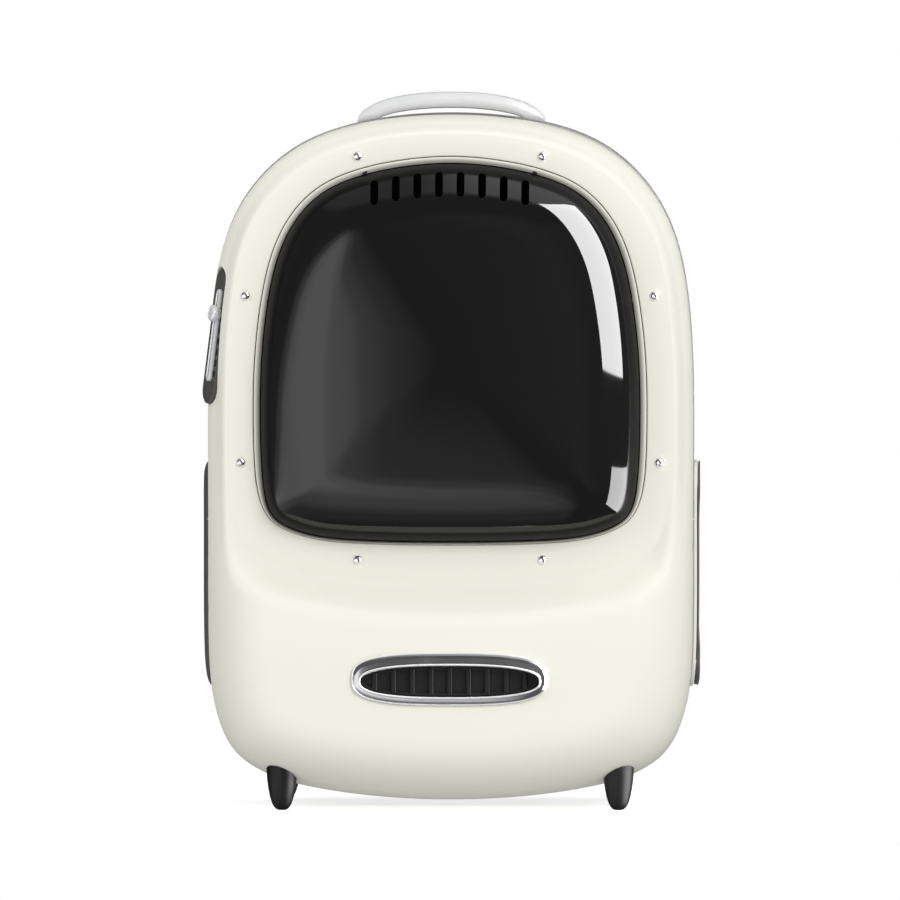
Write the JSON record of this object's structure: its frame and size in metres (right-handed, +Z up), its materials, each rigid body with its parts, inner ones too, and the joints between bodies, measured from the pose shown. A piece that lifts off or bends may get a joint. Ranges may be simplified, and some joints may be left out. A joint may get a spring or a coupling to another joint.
{
  "type": "pet carrier backpack",
  "caption": "Upright hard-shell pet carrier backpack with a domed smoked window, front air vent, sliding side vent, padded rear door and peg feet.",
  "frame": {"origin": "centre of the footprint, level with the tips of the feet", "axes": "+Z up, the window faces -Y, +X to the right seen from the front"},
  "size_m": [0.317, 0.29, 0.455],
  "materials": {
    "ivory": "warm ivory moulded plastic, high gloss",
    "smoke": "smoked transparent polycarbonate, mirror gloss",
    "chrome": "bright plated",
    "black_plastic": "satin moulded",
    "grey_plastic": "fine spark texture",
    "silver_grey": "satin",
    "rubber": "matte",
    "grey_fabric": "ribbed woven",
    "dark_mesh": "spacer mesh",
    "webbing": "woven tape",
    "board_green": "solder mask",
    "diffuser": "frosted",
    "steel": "plain"
  },
  "bodies": {
    "carrier": {"front_shell": "ivory", "window_trim_ring": "ivory", "window_gasket": "rubber", "window_lens": "smoke", "window_screw_1": "chrome", "window_screw_2": "chrome", "window_screw_3": "chrome", "window_screw_4": "chrome", "window_screw_5": "chrome", "window_screw_6": "chrome", "window_screw_7": "chrome", "window_screw_8": "chrome", "front_vent_bezel": "chrome", "front_vent_grille": "black_plastic", "fan_housing": "black_plastic", "fan_motor": "steel", "fan_guard": "black_plastic", "control_board": "board_green", "led_housing": "silver_grey", "led_diffuser": "diffuser", "side_vent_bezel": "grey_plastic", "side_vent_track": "chrome", "parting_seal": "rubber", "rear_shell": "grey_fabric", "handle_grip": "silver_grey", "handle_cup": "grey_plastic", "pocket_tray": "grey_plastic", "usb_inlet": "steel", "hatch_rim": "ivory", "floor_board": "grey_plastic", "floor_mat": "grey_fabric", "foot_front_left": "rubber", "foot_front_right": "rubber", "foot_rear_left": "rubber", "foot_rear_right": "rubber"},
    "fan_rotor": {"fan_impeller": "black_plastic"},
    "vent_slider": {"side_vent_knob": "chrome", "side_vent_shutter": "black_plastic"},
    "pocket_lid": {"pocket_cover": "grey_plastic"},
    "side_hatch": {"hatch_door": "grey_plastic"},
    "rear_door": {"back_door": "grey_fabric", "back_pad": "dark_mesh", "shoulder_strap_left": "dark_mesh", "shoulder_strap_right": "dark_mesh", "strap_adjuster_left": "black_plastic", "strap_adjuster_right": "black_plastic", "strap_webbing_left": "webbing", "strap_webbing_right": "webbing"},
    "zipper": {"zip_slider": "steel"},
    "zipper_pull": {"zip_pull": "rubber"},
    "fan_button": {"mode_button": "silver_grey"}
  },
  "joints": [
    {"name": "fan_spin", "type": "hinge", "parent": "carrier", "child": "fan_rotor", "pos_m": [0, -0.114, 0.084], "axis": [0, 1, 0], "continuous": true},
    {"name": "vent_slide", "type": "slide", "parent": "carrier", "child": "vent_slider", "axis": [0.1253, 0, 0.9921], "range_m": [-0.036, 0.009]},
    {"name": "pocket_hinge", "type": "hinge", "parent": "carrier", "child": "pocket_lid", "pos_m": [-0.157, 0.0725, 0.1465], "axis": [0, 0, -1], "range_deg": [0, 110]},
    {"name": "hatch_hinge", "type": "hinge", "parent": "carrier", "child": "side_hatch", "pos_m": [0.158, 0.073, 0.1465], "axis": [0, 0, 1], "range_deg": [0, 110]},
    {"name": "door_hinge", "type": "hinge", "parent": "carrier", "child": "rear_door", "pos_m": [-0.1315, 0.1075, 0.223], "axis": [0, 0, 1], "range_deg": [0, 105]},
    {"name": "zip_slide", "type": "slide", "parent": "rear_door", "child": "zipper", "axis": [0, 0, 1], "range_m": [0, 0.12]},
    {"name": "pull_swing", "type": "hinge", "parent": "zipper", "child": "zipper_pull", "pos_m": [0.1296, 0.1151, 0.15], "axis": [1, 0, 0], "range_deg": [0, 85]},
    {"name": "button_press", "type": "slide", "parent": "carrier", "child": "fan_button", "axis": [1, 0, 0], "range_m": [0, 0.0012], "stiffness_N_per_m": 300}
  ]
}
